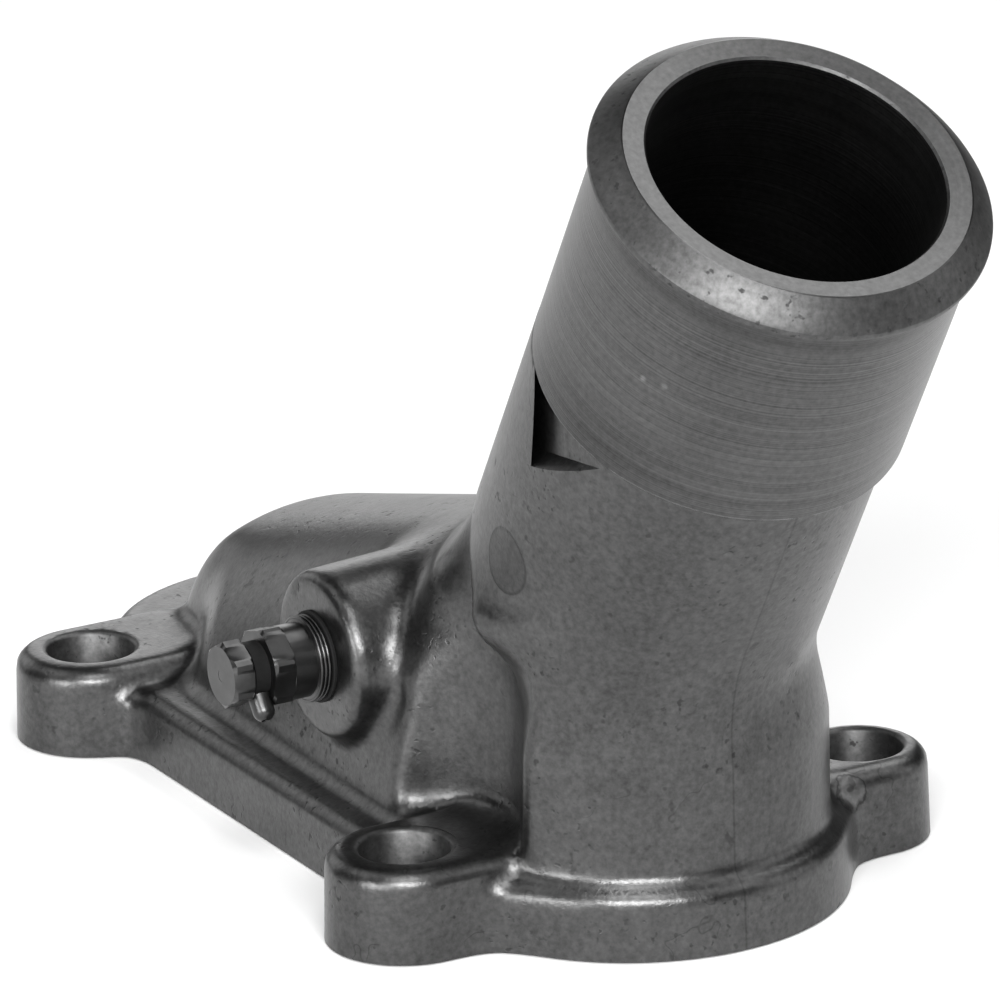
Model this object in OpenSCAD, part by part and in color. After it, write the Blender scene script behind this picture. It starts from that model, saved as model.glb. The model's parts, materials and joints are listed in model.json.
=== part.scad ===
// Cast coolant outlet housing with a hose neck and a bleed valve, in millimetres.
// The flange face lies on z = 0, the outlet body stands on the origin,
// the hood runs to -X and the hose neck leans to +X.

/* [Flange] */
// Thickness of the flange ledge
flange_t = 6; // [5:0.5:7]
// Height of the four bolt lugs
lug_h = 9.2; // [8:0.1:10]
// Radius of the two bolt lugs on the bleed side
lug_r = 8; // [7.5:0.1:8.2]
// Radius of the two bolt lugs on the other side
rear_lug_r = 7.2; // [7:0.1:8]
// Diameter of a bolt hole, M8 clearance
bolt_d = 9; // [8.4:0.1:9]
// Distance between the two rows of bolts
bolt_pitch_x = 67.5; // [66:0.5:69]
// Distance between the two bolts of a row
bolt_pitch_y = 51; // [50:0.5:52]
// Radius of the round ends of the flange
flange_r = 21.1; // [20.8:0.1:22]
// Distance of the straight flange edges from the middle
edge_y = 25.2; // [24.5:0.1:26]
// Radius of the clearance cut for a bolt head
pocket_r = 11.5; // [10.5:0.1:12]

/* [Hood] */
// Radius of the hood's arched roof
hood_r = 20.5; // [20.2:0.1:20.8]
// Height of the arch axis over the origin
hood_axis_z = 18.4; // [18:0.1:19]
// Slope of the arch axis, down toward the far end
hood_slope = 15.7; // [15:0.1:16.5]
// Length of the arch axis, up to the middle of the rounded end
hood_l = 57; // [55:0.1:58]
// Wall thickness of the casting
wall = 3.5; // [3:0.1:3.6]

/* [Outlet] */
// Radius of the upright outlet body
body_r = 19.1; // [18.8:0.1:19.4]
// Lean of the hose neck from upright
neck_tilt = 31; // [29:0.5:32]
// Height at which the neck axis leaves the body axis
neck_z = 26.6; // [26:0.1:27.5]
// Length of the neck along its axis
neck_l = 63.3; // [62:0.1:65]
// Radius of the cast part of the neck
neck_cast_r = 17.65; // [17.4:0.05:17.8]
// Distance by which the cast part runs off the turned part
cast_shift = 0.9; // [0:0.1:1]
// Radius of the turned part of the neck, for a 36 mm hose
neck_r = 18.2; // [18:0.05:18.4]
// Length along the axis at which the turned part starts
turned_l = 35; // [32:0.1:37]
// Radius of the hose bead
bead_r = 19.2; // [18.8:0.1:19.4]
// Radius of the flat ring at the end of the neck
face_r = 16.65; // [16.2:0.05:17]
// Radius of the bore
bore_r = 14.25; // [13.5:0.05:14.4]

/* [Bleed valve] */
// Place of the bleed valve along the hood
bleed_x = -22; // [-23:0.1:-21]
// Height of the bleed valve
bleed_z = 21.4; // [21:0.1:22]
// Distance of the boss face from the middle
boss_y = 23; // [22.6:0.1:23.6]
// Radius of the boss face
boss_r = 8.4; // [8:0.1:8.6]
// Width across flats of the hex on the valve body
body_af = 7.4; // [7.2:0.1:7.6]
// Width across flats of the screw head
screw_af = 6; // [5.8:0.1:6.2]
// Radius of the screw shank
screw_r = 2.45; // [2.4:0.01:2.46]

/* [Hidden] */
$fn = 64;
over = 1;

bolt_x = [0, -bolt_pitch_x];
bolt_y = [-bolt_pitch_y / 2, bolt_pitch_y / 2];
lug_round = 1.2;
hole_chamfer = 0.7;

// The side walls stand just inside the arch, and so does the rounded end
wall_inset = 0.3;
hood_top = 40;

body_top_r = 17.8;
body_straight_z = 18;
body_taper_z = 27;
// The chamber under the neck ends below the neck's foot and keeps off the clearance cuts
chamber_r = body_r - wall;
chamber_drop = 6;
pocket_wall = 3;
neck_start = -8;
// The core of the turned part runs down inside the cast part
core_r = neck_cast_r - cast_shift - over;
bead_cone = 2.3;
bead_back = 3.1;
bead_step = 0.6;

boss_base_r = 9.4;
boss_base_y = 6;
boss_round = 1.2;

// Stations along the valve axis, measured outward from the boss face
shank_r = 3.4;
shank_in = 11;
washer_t = 0.4;
washer_r = 4.6;
thread_r = 4.35;
thread_end = 1.7;
collar_r = 3.8;
collar_end = 4.2;
hex_end = 6.4;
stem_r = 3.2;
stem_end = 8;
head_start = 8.25;
head_end = 10.45;
head_root = 0.1;
guide_r = 2.5;
seat_depth = 4;
passage_r = 1.2;
tip_r = 1.5;
tip_l = 1.2;
tip_gap = 0.15;
groove_at = 4.2;
groove_w = 1;
groove_r = 1.7;
ring_gap = 0.05;
spout_at = (hex_end + stem_end) / 2;
spout_angle = 35;
spout_r = 1.1;
spout_reach = 5.4;
spout_foot = 2.7;
spout_bore_r = 0.5;

// Angle of a corner of each hex above the level
body_corner = 18;
head_corner = 30;

// The hood as a solid: a sloping arch with a rounded end on two side walls.
// A smaller radius draws the cavity inside it.
module hood(r, foot) {
    end_x = -hood_l * cos(hood_slope);
    end_z = hood_axis_z - hood_l * sin(hood_slope);
    intersection() {
        union() {
            translate([0, 0, hood_axis_z])
                rotate([0, -90 - hood_slope, 0])
                    cylinder(r = r, h = hood_l);
            translate([end_x, 0, end_z])
                sphere(r = r - wall_inset);
            rotate([90, 0, 0])
                linear_extrude(2 * (r - wall_inset), center = true)
                    polygon([[end_x, foot], [0, foot], [0, hood_axis_z], [end_x, end_z]]);
        }
        translate([-2 * hood_l, -2 * r, foot])
            cube([2 * hood_l, 4 * r, 2 * hood_top]);
    }
}

module at_bolts() {
    for (x = bolt_x)
        for (y = bolt_y)
            translate([x, y, 0])
                children();
}

module along_neck() {
    translate([0, 0, neck_z])
        rotate([0, neck_tilt, 0])
            children();
}

// Puts +Z of its children along the valve axis, outward from the boss face
module along_valve() {
    translate([bleed_x, -boss_y, bleed_z])
        rotate([90, 0, 0])
            children();
}

// A hex with one of its corners at the given angle
module hex(width, height, corner) {
    rotate(corner)
        cylinder(d = width / cos(30), h = height, $fn = 6);
}

// Within along_valve, puts +Z of its children along the drip spout
module toward_spout() {
    translate([0, 0, spout_at])
        rotate([90, 0, spout_angle])
            children();
}

module flange_plate() {
    linear_extrude(flange_t) {
        for (x = bolt_x)
            translate([x, 0])
                circle(r = flange_r);
        translate([-bolt_pitch_x, -edge_y])
            square([bolt_pitch_x, 2 * edge_y]);
    }
}

module lug(r) {
    rotate_extrude()
        polygon([[0, 0], [r, 0], [r, lug_h - lug_round], [r - lug_round, lug_h], [0, lug_h]]);
}

module lugs() {
    for (x = bolt_x) {
        translate([x, bolt_y[0], 0])
            lug(lug_r);
        translate([x, bolt_y[1], 0])
            lug(rear_lug_r);
    }
}

module outlet_body() {
    cylinder(r = body_r, h = body_straight_z);
    translate([0, 0, body_straight_z])
        cylinder(r1 = body_r, r2 = body_top_r, h = body_taper_z - body_straight_z);
}

module neck() {
    along_neck() {
        translate([-cast_shift, 0, neck_start])
            cylinder(r = neck_cast_r, h = turned_l - neck_start);
        rotate_extrude()
            polygon([[0, 0], [core_r, 0], [core_r, turned_l], [neck_r, turned_l],
                     [neck_r, neck_l - bead_back - bead_step],
                     [bead_r, neck_l - bead_back], [bead_r, neck_l - bead_cone],
                     [face_r, neck_l], [0, neck_l]]);
    }
}

module boss() {
    along_valve()
        rotate_extrude()
            polygon([[0, -(boss_y - boss_base_y)], [boss_base_r, -(boss_y - boss_base_y)],
                     [boss_r, -boss_round], [boss_r - boss_round, 0], [0, 0]]);
}

module bolt_pocket(grow) {
    at_bolts()
        translate([0, 0, lug_h - grow])
            cylinder(r = pocket_r + grow, h = hood_top);
}

module cavity() {
    difference() {
        union() {
            hood(hood_r - wall, -over);
            translate([0, 0, -over])
                cylinder(r = chamber_r, h = neck_z - chamber_drop + over);
        }
        bolt_pocket(pocket_wall);
    }
    along_neck() {
        sphere(r = bore_r);
        cylinder(r = bore_r, h = neck_l + over);
    }
    translate([0, 0, -over])
        cylinder(r = bore_r - wall, h = neck_z + over);
}

module bolt_hole() {
    translate([0, 0, -over])
        cylinder(d = bolt_d, h = lug_h + 2 * over);
    translate([0, 0, lug_h - hole_chamfer])
        cylinder(d1 = bolt_d, d2 = bolt_d + 4 * hole_chamfer, h = 2 * hole_chamfer);
}

module housing_casting() {
    color("silver")
        difference() {
            union() {
                difference() {
                    union() {
                        flange_plate();
                        hood(hood_r, 0);
                        outlet_body();
                        boss();
                    }
                    bolt_pocket(0);
                }
                lugs();
                neck();
            }
            cavity();
            at_bolts()
                bolt_hole();
            along_valve()
                translate([0, 0, -shank_in - over])
                    cylinder(r = shank_r, h = shank_in + 2 * over);
        }
}

module bleed_valve_body() {
    color("lightgray")
        along_valve()
            difference() {
                union() {
                    translate([0, 0, -shank_in])
                        cylinder(r = shank_r, h = shank_in + washer_t);
                    translate([0, 0, washer_t])
                        cylinder(r = thread_r, h = thread_end - washer_t);
                    translate([0, 0, thread_end])
                        cylinder(r = collar_r, h = collar_end - thread_end);
                    translate([0, 0, collar_end])
                        hex(body_af, hex_end - collar_end, body_corner);
                    translate([0, 0, hex_end])
                        cylinder(r = stem_r, h = stem_end - hex_end);
                }
                translate([0, 0, -seat_depth])
                    cylinder(r = guide_r, h = stem_end + seat_depth + over);
                translate([0, 0, -shank_in - over])
                    cylinder(r = passage_r, h = shank_in);
                toward_spout()
                    cylinder(r = spout_bore_r, h = stem_r + over);
            }
}

module bleed_sealing_washer() {
    color("dimgray")
        along_valve()
            difference() {
                cylinder(r = washer_r, h = washer_t);
                translate([0, 0, -over])
                    cylinder(r = shank_r, h = washer_t + 2 * over);
            }
}

// The drip spout is let into the underside of the stem and ends in a dome
module bleed_spout() {
    color("gray")
        along_valve()
            toward_spout()
                difference() {
                    union() {
                        translate([0, 0, spout_foot])
                            cylinder(r = spout_r, h = spout_reach - spout_r - spout_foot);
                        translate([0, 0, spout_reach - spout_r])
                            sphere(r = spout_r);
                    }
                    translate([0, 0, spout_foot - over])
                        cylinder(r = spout_bore_r, h = spout_reach);
                }
}

module bleed_screw() {
    color("lightgray")
        along_valve() {
            translate([0, 0, head_start])
                hex(screw_af, head_end - head_start, head_corner);
            rotate_extrude()
                polygon([[0, tip_gap - seat_depth], [tip_r, tip_gap - seat_depth],
                         [screw_r, tip_gap + tip_l - seat_depth], [screw_r, groove_at],
                         [groove_r, groove_at], [groove_r, groove_at + groove_w],
                         [screw_r, groove_at + groove_w], [screw_r, head_start + head_root],
                         [0, head_start + head_root]]);
        }
}

module bleed_screw_o_ring() {
    color("black")
        along_valve()
            translate([0, 0, groove_at + ring_gap])
                rotate_extrude()
                    translate([groove_r + ring_gap, 0])
                        square([guide_r - groove_r - 2 * ring_gap, groove_w - 2 * ring_gap]);
}

housing_casting();
bleed_valve_body();
bleed_sealing_washer();
bleed_spout();
bleed_screw();
bleed_screw_o_ring();
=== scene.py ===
# %% [markdown]
# This lesson dresses a cast coolant outlet housing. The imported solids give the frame: the flange face
# lies on z = 0 and the outlet body stands on the origin. A casting has no sharp joins, so its skin is
# grown from a distance field with soft unions, and only what a tool has cut is drawn with crisp edges.

# %% Load the frame
import json
import math
import bpy
import numpy as np
from mathutils import Matrix, Vector


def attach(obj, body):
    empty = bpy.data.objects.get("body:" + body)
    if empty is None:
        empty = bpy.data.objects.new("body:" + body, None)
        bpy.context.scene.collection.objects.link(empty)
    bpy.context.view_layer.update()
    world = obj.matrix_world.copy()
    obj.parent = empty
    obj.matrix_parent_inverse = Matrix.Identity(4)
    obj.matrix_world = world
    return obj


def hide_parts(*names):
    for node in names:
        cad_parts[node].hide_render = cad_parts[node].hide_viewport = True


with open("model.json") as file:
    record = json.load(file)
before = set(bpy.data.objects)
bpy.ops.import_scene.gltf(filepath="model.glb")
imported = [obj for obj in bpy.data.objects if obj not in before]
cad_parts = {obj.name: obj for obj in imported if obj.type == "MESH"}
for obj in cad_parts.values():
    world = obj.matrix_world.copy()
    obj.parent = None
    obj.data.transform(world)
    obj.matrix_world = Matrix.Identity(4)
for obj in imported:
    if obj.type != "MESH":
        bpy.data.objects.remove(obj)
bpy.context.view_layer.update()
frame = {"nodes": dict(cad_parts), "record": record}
MM = 0.001
mounts = {m["name"]: m for m in frame["record"]["mounts"]}
print("solids", sorted(frame["nodes"]))

# %% [markdown]
# The camera stands at the photograph's angle. A long lens from far off keeps the near flange and the far
# neck in proportion, and the small roll is the tilt of the photograph. A camera in Blender looks along
# its own -Z, so the three columns of its matrix are its right, its up and its back.

# %% Camera
view_azimuth = math.radians(61.24)
view_elevation = math.radians(18.68)
view_roll = math.radians(-1.53)
view_distance = 771.4 * MM
view_target = Vector((-7.10, -10.14, 39.34)) * MM
back = Vector((math.sin(view_azimuth) * math.cos(view_elevation),
               -math.cos(view_azimuth) * math.cos(view_elevation),
               math.sin(view_elevation)))
level_right = Vector((0, 0, 1)).cross(back).normalized()
level_up = back.cross(level_right)
right = level_right * math.cos(view_roll) + level_up * math.sin(view_roll)
up = level_up * math.cos(view_roll) - level_right * math.sin(view_roll)
camera_data = bpy.data.cameras.new("photo_camera")
camera_data.sensor_width = 36
camera_data.lens = 288
camera = bpy.data.objects.new("photo_camera", camera_data)
camera.matrix_world = Matrix.Translation(view_target + back * view_distance) @ Matrix((
    (right.x, up.x, back.x, 0), (right.y, up.y, back.y, 0), (right.z, up.z, back.z, 0), (0, 0, 0, 1)))
bpy.context.collection.objects.link(camera)
bpy.context.scene.camera = camera
print("camera lens", camera_data.lens, "mm")

# %% [markdown]
# Shader maths reads best as ordinary sums. This small class wraps a node's socket: an operator between two
# wrapped values adds a Math node, and `node` adds any other kind of node.


# %% Shader sums
class Wire:
    def __init__(self, tree, socket):
        self.tree = tree
        self.socket = socket

    def maths(self, operation, *values):
        made = self.tree.nodes.new("ShaderNodeMath")
        made.operation = operation
        for place, value in zip(made.inputs, values):
            self.feed(place, value)
        return Wire(self.tree, made.outputs[0])

    def feed(self, place, value):
        if isinstance(value, Wire):
            self.tree.links.new(value.socket, place)
        else:
            place.default_value = value

    def node(self, kind, settings=None, out=0, **values):
        made = self.tree.nodes.new(kind)
        for name, value in (settings or {}).items():
            setattr(made, name, value)
        for name, value in values.items():
            key = int(name[1:]) if name[0] == "_" and name[1:].isdigit() else name.replace("_", " ")
            self.feed(made.inputs[key], value)
        return Wire(self.tree, made.outputs[out])

    def __add__(self, other):
        return self.maths("ADD", self, other)

    def __sub__(self, other):
        return self.maths("SUBTRACT", self, other)

    def __mul__(self, other):
        return self.maths("MULTIPLY", self, other)

    def __rsub__(self, other):
        return self.maths("SUBTRACT", other, self)

    __radd__ = __add__
    __rmul__ = __mul__

    def size(self):
        return self.maths("ABSOLUTE", self)

    def ramp(self, low, high, from_value=0.0, to_value=1.0):
        made = self.tree.nodes.new("ShaderNodeMapRange")
        made.interpolation_type = "SMOOTHSTEP"
        for place, value in zip(made.inputs, (self, low, high, from_value, to_value)):
            self.feed(place, value)
        return Wire(self.tree, made.outputs[0])

    def noise(self, scale, detail=3.0, rough=0.55):
        return self.node("ShaderNodeTexNoise", Vector=self, Scale=scale, Detail=detail, Roughness=rough)

    def reach(self, centre):
        settings = {"operation": "DISTANCE"}
        return self.node("ShaderNodeVectorMath", settings, out=1, _0=self, _1=tuple(centre))

    def grey(self):
        return self.node("ShaderNodeCombineColor", Red=self, Green=self, Blue=self)


def new_finish(name, metallic, rough):
    material = bpy.data.materials.new(name)
    material.use_nodes = True
    shader = material.node_tree.nodes["Principled BSDF"]
    shader.inputs["Metallic"].default_value = metallic
    shader.inputs["Roughness"].default_value = rough
    coords = material.node_tree.nodes.new("ShaderNodeTexCoord")
    return material, shader, Wire(material.node_tree, coords.outputs["Object"])


def split(place):
    parts = place.tree.nodes.new("ShaderNodeSeparateXYZ")
    place.tree.links.new(place.socket, parts.inputs[0])
    return [Wire(place.tree, socket) for socket in parts.outputs]


# %% [markdown]
# The neck leans, so its finishes and its rings are drawn about a leaning axis. The bore mount of the
# record carries that axis, and the foot of the neck is where the axis leaves the upright body.

# %% Main sizes in millimetres
bolt_half_y = mounts["outlet_bolts"]["dims"]["spacing_y_mm"] / 2
bolt_r = mounts["outlet_bolts"]["dims"]["hole_r_mm"]
bolt_row_x = mounts["hood_bolts"]["pos_m"][0] / MM
bore_r = mounts["neck_bore"]["dims"]["r_mm"]
neck_axis = np.array(mounts["neck_bore"]["axis"])
neck_side = np.array((neck_axis[2], 0.0, -neck_axis[0]))
neck_foot = np.array((0.0, 0.0, 26.6))
neck_length = mounts["neck_bore"]["dims"]["length_mm"]
turned_start = 35.0
turned_r = 18.2
bead_r = 19.2
face_r = 16.65
cast_neck_r = 17.65
cast_neck_shift = 0.9
lug_h = 9.2
lug_front_r, lug_rear_r = 8.0, 7.18
lug_web = 10.5
flange_r = 21.08
edge_y = 25.2
body_r = 19.1
pocket_r = 11.5
wall = 3.5
valve_x, valve_z = -22.0, 21.4
valve_r = 3.4
boss_y = -23.0
boss_r = 8.4
bolts = [(x, y) for x in (0.0, bolt_row_x) for y in (-bolt_half_y, bolt_half_y)]
print("bolts at", bolts, "neck axis", neck_axis.round(3))

# %% [markdown]
# A distance field gives, at any point, how far the nearest surface is, and is negative inside. A plain
# union is the smaller of two fields. Rounding that minimum off near the join leaves a fillet, as the
# mould does. Modelling the fillets with bevels would mean chasing dozens of crossing edges. The plate has
# its own join: `skirt` rolls its rounded edge into a hollow of the same radius that climbs the wall.
# `gap` is how far away the wall is, and where it is far enough, a flat ledge stays between the two arcs.


# %% Soft joins
def join(a, b, soft):
    share = np.clip(0.5 + 0.5 * (b - a) / soft, 0, 1)
    return b + (a - b) * share - soft * share * (1 - share)


def cut(a, b, soft):
    return -join(-a, b, soft)


def slab(plan, over, edge):
    a = plan + edge
    b = over + edge
    return np.minimum(np.maximum(a, b), 0) + np.hypot(np.maximum(a, 0), np.maximum(b, 0)) - edge


def skirt(plan, top, gap, z, edge):
    width = np.maximum(gap - plan, 0)
    flat = np.maximum(width - 2 * edge, 0)
    lean = np.arccos(np.clip(1 - width / (2 * edge), 0, 1))
    near = gap - np.clip(gap - edge, 0, flat) - edge
    over = z - top + edge - 2 * edge * np.sin(lean)
    hollow = (over < 0) & (np.cos(lean) * over > np.sin(lean) * near)
    return np.where(hollow, edge - np.hypot(near, over), slab(plan, z - top, edge))


def tapered_disc(reach, along, r_outer, r_inner, length, edge):
    lean = (r_inner - r_outer) / length
    side = (reach - r_outer - lean * along) / math.hypot(1, lean)
    return slab(side, -along, edge)


# %% [markdown]
# The hood is a duct that rises toward the neck. Each slice across it is close to a half ellipse, its
# ridge climbs in a straight line, and past a certain point the slices shrink to close the far end. The
# formula is no true distance, so it is divided by its own slope.

# %% Hood field
hood_w = 21.6
hood_h0, hood_rise, hood_least_h = 39.7, 0.281, 6.0
hood_close_x, hood_close_l = -63.7, 11.4
section_power, close_power = 2.06, 2.4


def hood_shape(p, inset):
    x, y, z = p.T
    height = np.maximum(hood_h0 + hood_rise * x, hood_least_h) - inset
    over = np.maximum(z, 0)
    slice_size = ((np.abs(y) / (hood_w - inset)) ** section_power
                  + (over / height) ** section_power + 1e-9) ** (1 / section_power)
    closing = np.maximum(0, (hood_close_x - x) / (hood_close_l - inset))
    return (slice_size ** close_power + closing ** close_power) ** (1 / close_power) - 1


def hood_field(p, inset):
    step = 0.05
    here = hood_shape(p, inset)
    slope = [(hood_shape(p + step * axis, inset) - here) / step for axis in np.eye(3)]
    return here / np.maximum(np.sqrt(sum(s * s for s in slope)), 0.02)


print("hood ridge climbs from", round(hood_h0 + hood_rise * hood_close_x, 1), "to", hood_h0, "mm")

# %% [markdown]
# The whole casting is then a short sum: base plate, lugs, hood, body, neck and boss are joined softly,
# the bolt-head pockets are cut out, and the chamber inside is taken away. Two radii change from place to
# place: the knee of the neck is crisp at its rear and soft elsewhere, and the pockets' rims grow softer
# with height.

# %% Casting field
draft = 0.03
ledge_top = 7.05
round_r = 1.85
plan_fillet = 2.0
lug_inset, lug_fillet = 1.2, 6.0
pocket_sink, pocket_floor_r = 1.0, 3.0
pocket_top, pocket_roof_r, pocket_wall = 28.0, 6.0, 1.6
pocket_lift, lift_x, lift_run = 14, 3, 12
neck_sink = 8.0
knee_r, knee_growth, knee_y, knee_run = 1.0, 5.0, 8, 12
rim_r, rim_growth = 1.3, 3.7
rim_z, rim_climb = 19, 8
rim_x, rim_run = -30, 20
body_top = 30.0
body_taper, body_taper_z = 0.15, 18.0
hood_end_x, hood_fillet = -1.0, 5.0
boss_base_r, boss_l, boss_edge = 9.3, 17.0, 1.2
boss_root_y, boss_fillet = -6.0, 2.6
chamber_top = 22.0
inner_r, bore_blend, pocket_inner_r = 2.0, 3.0, 1.5
drop_inset, pocket_thin = 3.5, 0.5
below_face = 1.5


def plan_field(x, y):
    ends = np.minimum(np.hypot(x, y), np.hypot(x - bolt_row_x, y)) - flange_r
    middle_x = np.abs(x - bolt_row_x / 2) + bolt_row_x / 2
    middle_y = np.abs(y) - edge_y
    sides = np.hypot(np.maximum(middle_x, 0), np.maximum(middle_y, 0)) + np.minimum(
        np.maximum(middle_x, middle_y), 0)
    return join(ends, sides, plan_fillet)


def lug_field(x, y):
    reach = []
    for bx, by in bolts:
        outward = math.copysign(1.0, by)
        inward = np.clip(outward * (by - y), 0, lug_web)
        lug_r = lug_front_r if by < 0 else lug_rear_r
        reach.append(np.hypot(x - bx, y - by + outward * inward) - lug_r)
    return np.min(reach, axis=0)


def pocket_field(p, grow):
    x, y, z = p.T
    reach = np.min([np.hypot(x - bx, y - by) for bx, by in bolts], axis=0)
    side = reach - pocket_r - grow - draft * (z - lug_h)
    floored = cut(side, z - lug_h + pocket_sink + grow, pocket_floor_r)
    ceiling = pocket_top + grow + pocket_lift * np.clip((lift_x - x) / lift_run, 0, 1)
    return cut(floored, ceiling - z, pocket_roof_r)


def neck_place(p):
    away = p - neck_foot
    along = away @ neck_axis
    return away - np.outer(along, neck_axis), along


def outside_field(p):
    x, y, z = p.T
    upright = np.hypot(x, y) - body_r + body_taper * np.maximum(z - body_taper_z, 0)
    body = np.maximum(upright, z - body_top)
    hood = np.maximum(hood_field(p, 0), x - hood_end_x)
    shell = join(hood, body, hood_fillet)
    across, along = neck_place(p)
    cast_reach = np.linalg.norm(across + cast_neck_shift * neck_side, axis=1)
    neck = np.maximum(cast_reach - cast_neck_r, along - turned_start)
    neck = np.maximum(neck, -neck_sink - along)
    knee = knee_r + knee_growth * np.clip(np.maximum(-x, knee_y - y) / knee_run, 0, 1)
    softer = np.maximum((z - rim_z) / rim_climb, (rim_x - x) / rim_run)
    rim = rim_r + rim_growth * np.clip(softer, 0, 1)
    shell = cut(join(shell, neck, knee), pocket_field(p, 0), rim)
    boss_reach = np.hypot(x - valve_x, z - valve_z)
    boss = tapered_disc(boss_reach, y - boss_y, boss_r, boss_base_r, boss_l, boss_edge)
    shell = join(shell, np.maximum(boss, y - boss_root_y), boss_fillet)
    lugs = lug_field(x, y)
    plate = join(plan_field(x, y), lugs + lug_inset, lug_fillet)
    ledge = skirt(plate + draft * z, ledge_top, shell, z, round_r)
    pads = skirt(lugs + draft * z, lug_h, shell, z, round_r)
    return np.minimum(join(ledge, pads, lug_inset), shell)


def inside_field(p):
    x, y, z = p.T
    across, along = neck_place(p)
    bore = np.linalg.norm(across, axis=1) - bore_r
    bore = np.maximum(bore, -along)
    ball = np.linalg.norm(p - neck_foot, axis=1) - bore_r
    chamber = np.maximum(np.hypot(x, y) - body_r + wall, z - chamber_top)
    chamber = join(np.maximum(hood_field(p, wall), x), chamber, inner_r)
    chamber = cut(chamber, pocket_field(p, wall - pocket_thin), inner_r)
    drop = np.maximum(np.hypot(x, y) - bore_r + drop_inset, z - neck_foot[2])
    hollow = join(join(chamber, drop, inner_r), np.minimum(bore, ball), bore_blend)
    return cut(hollow, pocket_field(p, pocket_wall), pocket_inner_r)


def casting_field(p):
    solid = np.maximum(outside_field(p), -inside_field(p))
    return np.maximum(solid, -below_face - p[:, 2])


lug_middle = np.array([[0.0, -bolt_half_y, lug_h / 2]])
print("field in the middle of a lug", casting_field(lug_middle).round(2), "mm")

# %% [markdown]
# A surface net turns the field into quads: each grid cell that the surface crosses gets one vertex, and
# each crossed grid edge joins four of them. A few Newton steps then pull every vertex exactly onto the
# surface.


# %% Surface net
def surface_net(field, low, high, cell):
    counts = np.ceil((high - low) / cell).astype(int) + 1
    axes = [low[i] + cell * np.arange(counts[i]) for i in range(3)]
    grid = np.stack(np.meshgrid(*axes, indexing="ij"), axis=-1).reshape(-1, 3)
    value = np.concatenate([field(part) for part in np.array_split(grid, 24)]).reshape(counts)
    inside = value < 0
    corners = [np.array((i, j, k)) for i in (0, 1) for j in (0, 1) for k in (0, 1)]
    tally = sum(inside[c[0]:counts[0] - 1 + c[0], c[1]:counts[1] - 1 + c[1],
                       c[2]:counts[2] - 1 + c[2]].astype(np.int8) for c in corners)
    cells = np.argwhere((tally > 0) & (tally < 8))
    number = np.full(tally.shape, -1)
    number[tuple(cells.T)] = np.arange(len(cells))
    total = np.zeros((len(cells), 3))
    hits = np.zeros((len(cells), 1))
    for a in corners:
        for b in corners:
            if (b - a).sum() == 1 and np.abs(b - a).sum() == 1:
                va = value[tuple((cells + a).T)]
                vb = value[tuple((cells + b).T)]
                crossed = (va < 0) != (vb < 0)
                share = np.where(crossed, va / np.where(crossed, va - vb, 1), 0)[:, None]
                total += crossed[:, None] * (a + share * (b - a))
                hits += crossed[:, None]
    points = low + cell * (cells + total / hits)
    quads = []
    for axis in range(3):
        one, two = (axis + 1) % 3, (axis + 2) % 3
        first = np.take(inside, range(counts[axis] - 1), axis)
        change = np.argwhere(first != np.take(inside, range(1, counts[axis]), axis))
        room = (change[:, one] > 0) & (change[:, two] > 0)
        room &= (change[:, one] < counts[one] - 1) & (change[:, two] < counts[two] - 1)
        change = change[room]
        ring = []
        for step_one, step_two in ((-1, -1), (0, -1), (0, 0), (-1, 0)):
            place = change.copy()
            place[:, one] += step_one
            place[:, two] += step_two
            ring.append(number[tuple(place.T)])
        ring = np.stack(ring, axis=1)
        outward = first[tuple(change.T)]
        quads.append(np.where(outward[:, None], ring, ring[:, ::-1]))
    return points, np.concatenate(quads)


def settle(field, points, rounds, most):
    step = 0.03
    for _ in range(rounds):
        here = field(points)
        slope = np.stack([(field(points + step * axis) - field(points - step * axis)) / (2 * step)
                          for axis in np.eye(3)], axis=1)
        pull = here / np.maximum((slope ** 2).sum(axis=1), 0.2)
        points = points - np.clip(pull, -most, most)[:, None] * slope
    return points


def mesh_object(name, points_mm, faces, *materials):
    mesh = bpy.data.meshes.new(name)
    mesh.from_pydata((np.asarray(points_mm) * MM).tolist(), [], [list(map(int, f)) for f in faces])
    mesh.update()
    made = bpy.data.objects.new(name, mesh)
    bpy.context.collection.objects.link(made)
    for material in materials:
        mesh.materials.append(material)
    return made


# %% [markdown]
# Turned pieces are a profile swept round an axis. The profile lists radius and height, in millimetres, and
# `place` says where the axis stands. The same call makes cutters for the drilled holes.


# %% Turning
def axis_frame(at, axis):
    axis = np.asarray(axis, float)
    side = np.cross((0.0, 1.0, 0.0) if abs(axis[1]) < 0.9 else (1.0, 0.0, 0.0), axis)
    side /= np.linalg.norm(side)
    return np.asarray(at, float), side, np.cross(axis, side), axis


def turned(profile, place, sides=128, closed=False, radius=None):
    at, side, other, axis = place
    turn = np.linspace(0, 2 * math.pi, sides, endpoint=False)
    rows = []
    for r, t in profile:
        reach = np.full(sides, r) if radius is None else np.minimum(r, radius(turn))
        circle = at + np.outer(reach * np.cos(turn), side) + np.outer(reach * np.sin(turn), other)
        rows.append(circle + t * axis)
    faces = []
    for row in range(len(rows) if closed else len(rows) - 1):
        a, b = row * sides, (row + 1) % len(rows) * sides
        for i in range(sides):
            j = (i + 1) % sides
            faces.append((a + i, a + j, b + j, b + i))
    if not closed:
        faces.append(tuple(range(sides - 1, -1, -1)))
        faces.append(tuple(range((len(rows) - 1) * sides, len(rows) * sides)))
    return np.concatenate(rows), faces


def smooth_sharp(made, degrees):
    made.data.polygons.foreach_set("use_smooth", [True] * len(made.data.polygons))
    made.data.set_sharp_from_angle(angle=math.radians(degrees))


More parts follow.
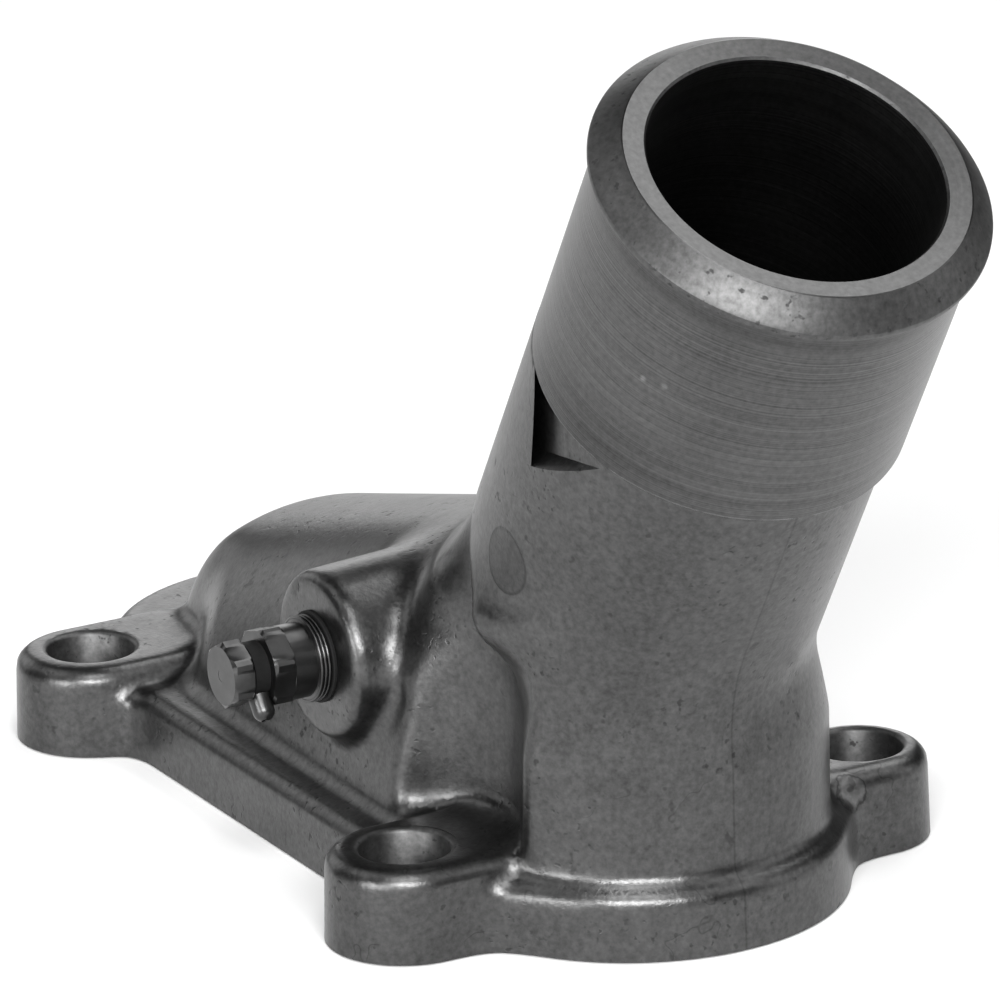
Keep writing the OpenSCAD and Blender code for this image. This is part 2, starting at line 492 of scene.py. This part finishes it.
def subtract(made, points, faces, name):
    cutter = mesh_object(name, points, faces)
    tool = made.modifiers.new(name, "BOOLEAN")
    tool.operation = "DIFFERENCE"
    tool.solver = "EXACT"
    tool.object = cutter
    bpy.context.view_layer.update()
    evaluated = made.evaluated_get(bpy.context.evaluated_depsgraph_get())
    result = bpy.data.meshes.new_from_object(evaluated)
    made.modifiers.remove(tool)
    made.data = result
    bpy.data.objects.remove(cutter)


# %% [markdown]
# Die-cast aluminium leaves the mould with a grey, slightly mottled skin: small dark specks, faint flow
# lines and a fine grain that blurs reflections. Noise of several scales draws them. The two mould halves
# meet at y = 0, where a thin line stays, and a pin that pushed the casting out left a round mark on the
# neck. Two dark scabs on the boss and a torn spot beside a rear lug are placed one by one, with ragged
# edges.

# %% Cast finish
metal_grey = 0.088
foot_along = float(neck_foot @ neck_axis) * MM
boundary = turned_start * MM
bead_foot = (neck_length - 3.1) * MM
mark_at = np.array((7.26, -17.6, 38.7)) * MM
mark_r = 3.2 * MM
scabs = (((-25.9, -22.9, 27.8), 1.4), ((-20.6, -13.0, 30.4), 1.2))
torn_at = np.array((7.1, 20.6, 7.2)) * MM


def neck_reach(place):
    settings = {"operation": "DOT_PRODUCT"}
    dot = place.node("ShaderNodeVectorMath", settings, out=1, _0=place, _1=tuple(neck_axis))
    return dot - foot_along


cast_finish, shader, place = new_finish("cast_aluminium", 1.0, 0.38)
x, y = split(place)[:2]
cloud = place.noise(70.0, 4.0, 0.6)
blotch = place.noise(260.0, 4.0, 0.65)
fine = place.noise(1500.0, 2.0, 0.6)
clusters = place.noise(140.0, 2.0).ramp(0.45, 0.65)
specks = place.noise(1300.0, 1.5).ramp(0.60, 0.72) * clusters
spots = place.noise(520.0, 2.0).ramp(0.66, 0.74)
seams = (place.noise(95.0, 3.0) - 0.5).size().ramp(0.0, 0.007, 1.0, 0.0)
seams = seams * place.noise(55.0).ramp(0.52, 0.6)
parting = y.size().ramp(0.0, 0.0002, 1.0, 0.0) * x.ramp(0.010, 0.012)
from_mark = place.reach(mark_at)
mark = from_mark.ramp(mark_r, mark_r + 0.0002, 1.0, 0.0)
mark_line = (from_mark - mark_r).size().ramp(0.0, 0.0003, 1.0, 0.0)
along = neck_reach(place)
shadow_line = along.ramp(boundary - 0.0006, boundary - 0.0002)
shadow_line = shadow_line * along.ramp(boundary, boundary + 0.0003, 1.0, 0.0)
tone = metal_grey * (1.0 + 0.5 * (cloud - 0.5) + 0.5 * (blotch - 0.5) + 1.0 * (fine - 0.5))
for dark, depth in ((specks, 0.45), (spots, 0.35), (seams, 0.3), (parting, 0.25), (mark, 0.28),
                    (mark_line, 0.25), (shadow_line, 0.45)):
    tone = tone * (1.0 - depth * dark)
ragged = 0.004 * (place.noise(420.0, 3.0) - 0.5)
for scab_at, scab_r in scabs:
    scab = place.reach(np.array(scab_at) * MM) + ragged
    tone = tone * (1.0 - 0.45 * scab.ramp(0.6 * scab_r * MM, scab_r * MM, 1.0, 0.0))
torn = place.reach(torn_at) + ragged
tone = tone * (1.0 + 0.5 * torn.ramp(0.0012, 0.0016, 1.0, 0.0))
tone = tone * (1.0 - 0.5 * (torn - 0.0018).size().ramp(0.0, 0.0003, 1.0, 0.0))
place.tree.links.new(tone.grey().socket, shader.inputs["Base Color"])
gloss = 0.35 + 0.14 * (blotch - 0.5) + 0.10 * specks
place.tree.links.new(gloss.socket, shader.inputs["Roughness"])
grain = place.noise(2600.0, 3.0, 0.6) * 0.5 + place.noise(500.0, 3.0, 0.6) - 0.8 * specks - 0.6 * mark
bump = place.node("ShaderNodeBump", Strength=0.35, Distance=0.00012, Height=grain)
place.tree.links.new(bump.socket, shader.inputs["Normal"])
print(cast_finish.name, len(place.tree.nodes), "nodes")

# %% [markdown]
# A lathe leaves rings: noise along the neck's axis alone draws them. Dashes of brighter colour along the
# sharp lower edge of the turned part are a painted highlight, the glint of a burr there. A dark band
# under the bead is painted shade, and so is a darker patch just above that edge on the -Y side. Two small
# scratches stay where the photograph shows them.

# %% Turned finish
scratches = ((47.6, -63.0), (48.2, -56.0))
one_way = {"noise_dimensions": "1D"}
turned_finish, shader, place = new_finish("turned_aluminium", 1.0, 0.34)
y = split(place)[1]
along = neck_reach(place)
rings = along.node("ShaderNodeTexNoise", one_way, W=along, Scale=5200.0, Detail=3.0)
bands = along.node("ShaderNodeTexNoise", one_way, W=along, Scale=900.0, Detail=2.0)
smear = place.noise(70.0, 4.0)
fine = place.noise(1700.0, 2.0, 0.6)
# painted highlight: brighter dashes along the turned edge stand for the glint on its burr
painted_burr_highlight = along.ramp(boundary + 0.0002, boundary + 0.0004, 1.0, 0.0)
painted_burr_highlight = painted_burr_highlight * place.noise(230.0, 2.0).ramp(0.42, 0.5)
shade = along.ramp(boundary + 0.001, boundary + 0.009, 1.0, 0.0)
shade = shade * y.ramp(-0.017, -0.011, 1.0, 0.0)
# painted shade: darker colour in a band just under the bead
painted_shade_under_bead = along.ramp(bead_foot - 0.0045, bead_foot - 0.001)
painted_shade_under_bead = painted_shade_under_bead * along.ramp(bead_foot, bead_foot + 0.001, 1.0, 0.0)
tone = 1.0 + 0.9 * (rings - 0.5) + 0.5 * (bands - 0.5) + 0.5 * (smear - 0.5) + 0.7 * (fine - 0.5)
tone = metal_grey * tone
tone = tone * (1.0 + 1.4 * painted_burr_highlight) * (1.0 - 0.25 * shade) * (1.0 - 0.22 * painted_shade_under_bead)
for scratch_along, scratch_turn in scratches:
    turn = math.radians(scratch_turn)
    outward = math.cos(turn) * neck_side + math.sin(turn) * np.array((0.0, 1.0, 0.0))
    scratch = place.reach((neck_foot + scratch_along * neck_axis + turned_r * outward) * MM)
    tone = tone * (1.0 + 0.7 * scratch.ramp(0.0001, 0.0005, 1.0, 0.0))
place.tree.links.new(tone.grey().socket, shader.inputs["Base Color"])
gloss = 0.34 + 0.12 * (rings - 0.5) + 0.1 * (smear - 0.5)
place.tree.links.new(gloss.socket, shader.inputs["Roughness"])
bump = place.node("ShaderNodeBump", Strength=0.3, Distance=0.00008, Height=rings)
place.tree.links.new(bump.socket, shader.inputs["Normal"])
print(turned_finish.name, len(place.tree.nodes), "nodes")

# %% [markdown]
# The cone of the bead and the drilled holes were cut too, but the years have left them matt: a fine grain
# and small dark pits, without rings. They get a finish of their own, rougher than the turned one.

# %% Matt cut finish
matt_finish, shader, place = new_finish("matt_cut_aluminium", 1.0, 0.5)
pits = place.noise(1100.0, 2.0).ramp(0.62, 0.72)
cloud = place.noise(160.0, 4.0)
fine = place.noise(1600.0, 2.0, 0.6)
tone = metal_grey * (1.0 + 0.4 * (cloud - 0.5) + 1.1 * (fine - 0.5))
tone = tone * (1.0 - 0.35 * pits)
place.tree.links.new(tone.grey().socket, shader.inputs["Base Color"])
place.tree.links.new((0.46 + 0.2 * pits).socket, shader.inputs["Roughness"])
print(matt_finish.name, len(place.tree.nodes), "nodes")

# %% [markdown]
# The bleed valve is plated steel, smoother than the casting and a little darker. Its seals are matt
# rubber.

# %% Valve finishes
steel_grey = 0.075
steel_finish, shader, place = new_finish("plated_steel", 1.0, 0.25)
tone = steel_grey * (1.0 + 0.8 * (place.noise(420.0, 3.0) - 0.5))
place.tree.links.new(tone.grey().socket, shader.inputs["Base Color"])
gloss = 0.32 + 0.2 * (place.noise(900.0) - 0.5)
place.tree.links.new(gloss.socket, shader.inputs["Roughness"])

rubber_finish, shader, place = new_finish("seal_rubber", 0.0, 0.7)
shader.inputs["Specular IOR Level"].default_value = 0.15
tone = 0.004 + 0.006 * place.noise(1500.0)
place.tree.links.new(tone.grey().socket, shader.inputs["Base Color"])
print("valve finishes", steel_finish.name, rubber_finish.name)

# %% [markdown]
# The casting itself: net, settle, then the crisp cuts. The flange face is milled flat at z = 0, the bolt
# holes are drilled and chamfered, a recess is taken out of the neck's side, and the boss is drilled for
# the valve. Booleans give the edges of a tool, which a net would blur. Each face then gets its finish by
# where it lies.

# %% Casting
cell = 0.75
low = np.array((-92.0, -37.0, -3.0))
high = np.array((46.0, 37.0, 76.0))
points, quads = surface_net(casting_field, low, high, cell)
points = settle(casting_field, points, 4, 0.5 * cell)
casting = mesh_object("casting_skin", points, quads, cast_finish, turned_finish, matt_finish)
print("casting net", len(points), "vertices", len(quads), "quads")

mill_r, mill_depth = 160.0, 6.0
mill = [(mill_r, -mill_depth), (mill_r, 0.0)]
face_cut = turned(mill, axis_frame((bolt_row_x / 2, 0, 0), (0, 0, 1)), 64)
subtract(casting, *face_cut, "face_cut")
mouth_r = bolt_r + 0.6
hole = [(bolt_r, -4.0), (bolt_r, lug_h - 0.4), (bolt_r + 0.2, lug_h - 0.15),
        (mouth_r, lug_h + 0.05), (mouth_r, lug_h + 2)]
for number, (bx, by) in enumerate(bolts):
    subtract(casting, *turned(hole, axis_frame((bx, by, 0), (0, 0, 1)), 96), f"bolt_hole_{number}")
recess = [(18.0, -20.0, 48.6), (27.0, -20.0, 54.2), (9.1, -16.0, 50.5), (25.0, -16.0, 52.2),
          (18.5, -20.0, 64.0), (27.0, -20.0, 66.0), (11.3, -16.0, 64.0), (25.0, -16.0, 66.0)]
box_faces = [(0, 2, 3, 1), (4, 5, 7, 6), (0, 1, 5, 4), (2, 6, 7, 3), (0, 4, 6, 2), (1, 3, 7, 5)]
subtract(casting, recess, box_faces, "recess")
drill = [(valve_r, -1.0), (valve_r, 13.0)]
valve_hole = turned(drill, axis_frame((valve_x, boss_y, valve_z), (0, 1, 0)), 64)
subtract(casting, *valve_hole, "valve_hole")
smooth_sharp(casting, 40)
as_cast, as_milled, as_drilled = 0, 1, 2
for face in casting.data.polygons:
    spot = np.array(face.center) / MM
    from_bolt = min(math.hypot(spot[0] - bx, spot[1] - by) for bx, by in bolts)
    face.material_index = as_drilled if from_bolt < bolt_r + 0.5 else as_cast
    if abs(spot[2]) < 0.01:
        face.material_index = as_milled
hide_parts("housing_casting")
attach(casting, "housing")
print("casting", len(casting.data.polygons), "faces")

# %% [markdown]
# The hose end was turned on a lathe: a flat ring round the mouth, the bead with its cone, a short step,
# then the straight neck with its fine tool marks. One swept profile gives all of it, and it runs a little
# way down inside the cast neck, where the join is hidden.

# %% Hose end
bead_top = neck_length - 2.3
bead_low = bead_foot / MM
sleeve_r, sleeve_start = bore_r + 1.2, turned_start - 6
hose_end = [(bore_r, sleeve_start), (bore_r, neck_length - 0.5), (bore_r + 0.2, neck_length - 0.25),
            (face_r - 0.15, neck_length), (face_r, neck_length - 0.08), (bead_r - 0.25, bead_top + 0.15),
            (bead_r - 0.04, bead_top - 0.12), (bead_r, bead_top - 0.4), (bead_r - 0.1, bead_low),
            (turned_r + 0.35, bead_low - 0.45), (turned_r + 0.08, bead_low - 0.75),
            (turned_r, bead_low - 1.2), (turned_r, turned_start + 0.25),
            (turned_r - 0.2, turned_start), (sleeve_r, turned_start), (sleeve_r, sleeve_start)]
hose_points, hose_faces = turned(hose_end, axis_frame(neck_foot, neck_axis), 256, True)
hose_neck = mesh_object("hose_neck", hose_points, hose_faces, turned_finish, matt_finish)
smooth_sharp(hose_neck, 25)
for face in hose_neck.data.polygons:
    height = (np.array(face.center) / MM - neck_foot) @ neck_axis
    flat = abs(face.normal @ Vector(neck_axis)) > 0.97
    on_cone = bead_low < height < neck_length - 0.2 and not flat
    face.material_index = 1 if on_cone else 0
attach(hose_neck, "housing")
print("hose end", len(hose_neck.data.polygons), "faces")

# %% [markdown]
# The valve's pieces stand on one axis that points out of the boss. A hex with its corners turned off is a
# swept profile too: its radius is the smaller of the turned profile and the hex. The screw and its seal
# ride on bodies of their own, so that they can turn and rise.

# %% Bleed valve
valve_place = axis_frame((valve_x, boss_y, valve_z), (0, -1, 0))
bush_bore_r, screw_r = 2.5, 2.45
thread_r, thread_end = 4.1, 1.6
collar_r, collar_end = 3.75, 4.2
bush_width, bush_corner, bush_end = 7.4, 18, 6.4
nose_r, nose_end = 2.8, 8.0
washer_r, washer_end = 4.6, 0.4
head_width, head_corner = 6.0, 30
head_start, head_end = 8.25, 10.45
groove_r, groove_start, groove_end = 1.7, 4.2, 5.2
seal_gap = 0.05
shank_bore_r, shank_end = 1.2, -11.0
screw_tip, axis_r = -3.85, 0.02
head_hole_r, plug_r = 0.6, 0.7
spout_out, spout_turn = 7.2, math.radians(35)
spout_bore_r, spout_start, spout_end = 0.5, 2.7, 5.25


def hex_of(width, corner):
    first = math.radians(90 + corner)

    def reach(turn):
        return width / 2 / np.cos((turn - first) % (math.pi / 3) - math.pi / 6)
    return reach


def valve_piece(name, node, body, slot, finish, *shells, dark=()):
    points = []
    faces = []
    tones = []
    for number, (shell_points, shell_faces) in enumerate((*shells, *dark)):
        first = sum(len(p) for p in points)
        faces += [tuple(first + i for i in f) for f in shell_faces]
        points.append(shell_points)
        tones += [1 if number >= len(shells) else 0] * len(shell_faces)
    made = mesh_object(name, np.concatenate(points), faces, finish, rubber_finish)
    made.data.polygons.foreach_set("material_index", tones)
    smooth_sharp(made, 30)
    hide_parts(node)
    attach(made, body)
    print(name, len(made.data.polygons), "faces")


collar = [(bush_bore_r, 0.3), (thread_r, 0.3), (thread_r, thread_end), (collar_r, thread_end + 0.1),
          (collar_r, collar_end - 0.1), (collar_r - 0.15, collar_end), (bush_bore_r, collar_end)]
bush_hex = [(bush_bore_r, collar_end - 0.1), (3.9, collar_end - 0.1), (4.27, collar_end + 0.15),
            (4.27, bush_end - 0.25), (3.8, bush_end), (bush_bore_r, bush_end)]
# The nose takes the near-black rubber finish as painted shade, for the shadowed gap between bush and screw
# head.
nose = [(bush_bore_r, bush_end - 0.1), (nose_r, bush_end - 0.1), (nose_r, nose_end),
        (bush_bore_r, nose_end)]
shank = [(shank_bore_r, shank_end), (valve_r - 0.3, shank_end), (valve_r, shank_end + 0.4),
         (valve_r, washer_end), (shank_bore_r, washer_end)]
valve_piece("valve_bush", "bleed_valve_body", "housing", "plated_steel", steel_finish,
            turned(collar, valve_place, 96, True),
            turned(bush_hex, valve_place, 180, True, hex_of(bush_width, bush_corner)),
            turned(shank, valve_place, 64, True), dark=[turned(nose, valve_place, 64, True)])
washer = [(valve_r, 0.0), (washer_r - 0.05, 0.0), (washer_r, 0.05), (washer_r, washer_end - 0.1),
          (washer_r - 0.1, washer_end), (valve_r, washer_end)]
valve_piece("valve_washer", "bleed_sealing_washer", "housing", "seal_rubber", rubber_finish,
            turned(washer, valve_place, 96, True))
head = [(head_hole_r, head_start), (3.1, head_start), (3.46, head_start + 0.2), (3.46, head_end - 0.3),
        (2.95, head_end), (head_hole_r, head_end)]
stem = [(axis_r, screw_tip), (1.5, screw_tip), (screw_r, screw_tip + 1.2), (screw_r, groove_start),
        (groove_r, groove_start), (groove_r, groove_end), (screw_r, groove_end),
        (screw_r, head_start + 0.05), (axis_r, head_start + 0.05)]
face_plug = [(axis_r, head_start + 0.15), (plug_r, head_start + 0.15), (plug_r, head_end - 0.02),
             (axis_r, head_end - 0.02)]
valve_piece("valve_screw", "bleed_screw", "screw", "plated_steel", steel_finish,
            turned(head, valve_place, 180, True, hex_of(head_width, head_corner)),
            turned(stem, valve_place, 64, True), turned(face_plug, valve_place, 48, True))
seal = [(groove_r + seal_gap, groove_start + seal_gap), (screw_r, groove_start + seal_gap),
        (screw_r, groove_end - seal_gap), (groove_r + seal_gap, groove_end - seal_gap)]
valve_piece("valve_seal", "bleed_screw_o_ring", "screw_seal", "seal_rubber", rubber_finish,
            turned(seal, valve_place, 64, True))
spout_axis = (math.sin(spout_turn), 0, -math.cos(spout_turn))
spout_place = axis_frame((valve_x, boss_y - spout_out, valve_z), spout_axis)
dome_r, dome_at = 1.1, 4.3
dome = [(dome_r * math.cos(a), dome_at + dome_r * math.sin(a)) for a in np.radians(range(0, 61, 10))]
spout = [(spout_bore_r, spout_start), (dome_r, spout_start), *dome, (spout_bore_r, spout_end)]
valve_piece("valve_spout", "bleed_spout", "housing", "plated_steel", steel_finish,
            turned(spout, spout_place, 48, True))

# %% [markdown]
# Close to the boss the bush shows a few turns of thread. They repeat, so Geometry Nodes draws them: one
# ring is a circle swept along a circle, a mesh line holds one point for each ring, and the ring is copied
# onto the points.

# %% Thread rings
rings_tree = bpy.data.node_groups.new("thread_rings", "GeometryNodeTree")
rings_tree.interface.new_socket("Geometry", in_out="OUTPUT", socket_type="NodeSocketGeometry")
ring_sizes = {"Count": 3, "Pitch": 0.42 * MM, "Ring Radius": 4.17 * MM, "Wire Radius": 0.17 * MM}
sockets = {}
for name, value in ring_sizes.items():
    kind = "NodeSocketInt" if isinstance(value, int) else "NodeSocketFloat"
    sockets[name] = rings_tree.interface.new_socket(name, in_out="INPUT", socket_type=kind).identifier


def ring_node(kind, **values):
    made = rings_tree.nodes.new(kind)
    for name, value in values.items():
        place = made.inputs[name.replace("_", " ")]
        if isinstance(value, bpy.types.NodeSocket):
            rings_tree.links.new(value, place)
        else:
            place.default_value = value
    return made.outputs[0]


entry = rings_tree.nodes.new("NodeGroupInput").outputs
circle = ring_node("GeometryNodeCurvePrimitiveCircle", Resolution=96, Radius=entry["Ring Radius"])
wire = ring_node("GeometryNodeCurvePrimitiveCircle", Resolution=10, Radius=entry["Wire Radius"])
ring = ring_node("GeometryNodeCurveToMesh", Curve=circle, Profile_Curve=wire)
step = ring_node("ShaderNodeCombineXYZ", Z=entry["Pitch"])
line = ring_node("GeometryNodeMeshLine", Count=entry["Count"], Offset=step)
copies = ring_node("GeometryNodeInstanceOnPoints", Points=line, Instance=ring)
solid = ring_node("GeometryNodeRealizeInstances", Geometry=copies)
dressed = ring_node("GeometryNodeSetMaterial", Geometry=solid, Material=steel_finish)
rings_tree.links.new(dressed, rings_tree.nodes.new("NodeGroupOutput").inputs["Geometry"])

thread = mesh_object("valve_thread", [], [])
modifier = thread.modifiers.new("rings", "NODES")
modifier.node_group = rings_tree
for name, value in ring_sizes.items():
    modifier[sockets[name]] = value
bpy.context.view_layer.update()
evaluated = thread.evaluated_get(bpy.context.evaluated_depsgraph_get())
thread_mesh = bpy.data.meshes.new_from_object(evaluated)
thread.modifiers.remove(modifier)
thread.data = thread_mesh
first_ring = 0.65
valve_at, valve_side, valve_other, valve_axis = valve_place
turn_out = Matrix(np.stack((valve_side, valve_other, valve_axis), axis=1).tolist()).to_4x4()
thread_mesh.transform(Matrix.Translation(Vector((valve_at + first_ring * valve_axis) * MM)) @ turn_out)
smooth_sharp(thread, 60)
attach(thread, "housing")
print("thread", len(thread_mesh.polygons), "faces")

# %% [markdown]
# The studio is a pale floor inside a ring of soft panels. Metal shows what stands round it, so the walls
# take the floor's tone, the edges take the panels, and the gaps between the panels give the dark lines
# beside the bright ones. The strongest panel is a low strip in front: it draws the two bright lines along
# the ledge.

# %% Studio
floor_half, floor_z = 1500, -0.2
floor_corners = [(-floor_half, -floor_half, floor_z), (floor_half, -floor_half, floor_z),
                 (floor_half, floor_half, floor_z), (-floor_half, floor_half, floor_z)]
floor = mesh_object("floor", floor_corners, [(0, 1, 2, 3)])
floor_finish, shader, place = new_finish("pale_floor", 0.0, 0.9)
shader.inputs["Base Color"].default_value = (0.9, 0.9, 0.9, 1)
floor.data.materials.append(floor_finish)

world = bpy.data.worlds.new("studio")
bpy.context.scene.world = world
world.use_nodes = True
world.node_tree.nodes["Background"].inputs["Color"].default_value = (0.8, 0.8, 0.8, 1)
world.node_tree.nodes["Background"].inputs["Strength"].default_value = 0.02
bpy.context.scene.view_settings.view_transform = "Standard"

light_target = Vector((0.0, 0.0, 35.0)) * MM


def soft_light(name, turn, rise, size_mm, watts):
    data = bpy.data.lights.new(name, "AREA")
    data.shape = "RECTANGLE"
    data.size, data.size_y = size_mm[0] * MM, size_mm[1] * MM
    data.energy = watts
    azimuth = view_azimuth + math.radians(turn)
    rise = math.radians(rise)
    level = math.cos(rise)
    outward = Vector((math.sin(azimuth) * level, -math.cos(azimuth) * level, math.sin(rise)))
    made = bpy.data.objects.new(name, data)
    made.location = light_target + outward
    made.rotation_euler = outward.to_track_quat("Z", "Y").to_euler()
    bpy.context.collection.objects.link(made)


soft_light("front", 0, 28, (600, 220), 12.5)
soft_light("front_high", 0, 62, (450, 300), 3.2)
soft_light("right_front", 70, 45, (500, 500), 1.4)
soft_light("right", 90, 15, (600, 400), 1.2)
soft_light("right_back", 135, 55, (600, 500), 3.5)
soft_light("back", 180, 15, (600, 400), 1.8)
soft_light("left_back", 225, 18, (600, 500), 1.3)
soft_light("left", 270, 50, (600, 500), 1.3)
soft_light("left_front", 315, 12, (500, 240), 5.2)
